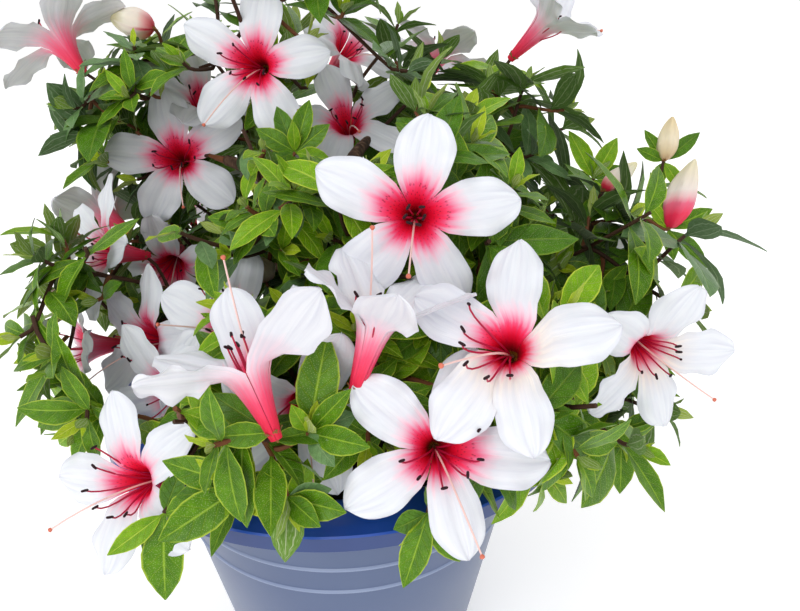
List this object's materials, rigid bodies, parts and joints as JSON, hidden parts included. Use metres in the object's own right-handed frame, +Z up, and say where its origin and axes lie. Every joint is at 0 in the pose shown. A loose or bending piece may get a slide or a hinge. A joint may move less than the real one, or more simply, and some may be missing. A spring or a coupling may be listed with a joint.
{
  "type": "flowering azalea bonsai in a pot",
  "caption": "Small bonsai azalea in full flower, with white crimson-throated blooms over glossy green leaves, in a round, flared blue plastic pot filled with compost.",
  "frame": {"origin": "middle of the pot's flat underside, on the surface it stands on", "axes": "+Z up; -Y towards the side that the picture shows; +X to the right from there"},
  "size_m": [0.3093, 0.2728, 0.3228],
  "materials": {
    "pot": "moulded, hazy gloss",
    "soil": "rough, moist compost",
    "bark": "rough bark",
    "foliage": "satin leaf"
  },
  "bodies": {
    "root": {"pot": "pot", "soil": "soil", "trunk": "bark", "bough_apex": "bark", "bough_upper_left": "bark", "bough_upper_back": "bark", "bough_upper_right": "bark", "bough_middle": "bark", "bough_front_high": "bark", "bough_front_right": "bark", "bough_front_left": "bark", "bough_left": "bark", "bough_right": "bark", "bough_right_low": "bark", "bough_back": "bark", "bough_back_left": "bark", "bough_back_right": "bark", "foliage_apex": "foliage", "foliage_upper_left": "foliage", "foliage_upper_back": "foliage", "foliage_upper_right": "foliage", "foliage_middle": "foliage", "foliage_front_high": "foliage", "foliage_front_right": "foliage", "foliage_front_left": "foliage", "foliage_left": "foliage", "foliage_right": "foliage", "foliage_right_low": "foliage", "foliage_back": "foliage", "foliage_back_left": "foliage", "foliage_back_right": "foliage"}
  },
  "joints": []
}
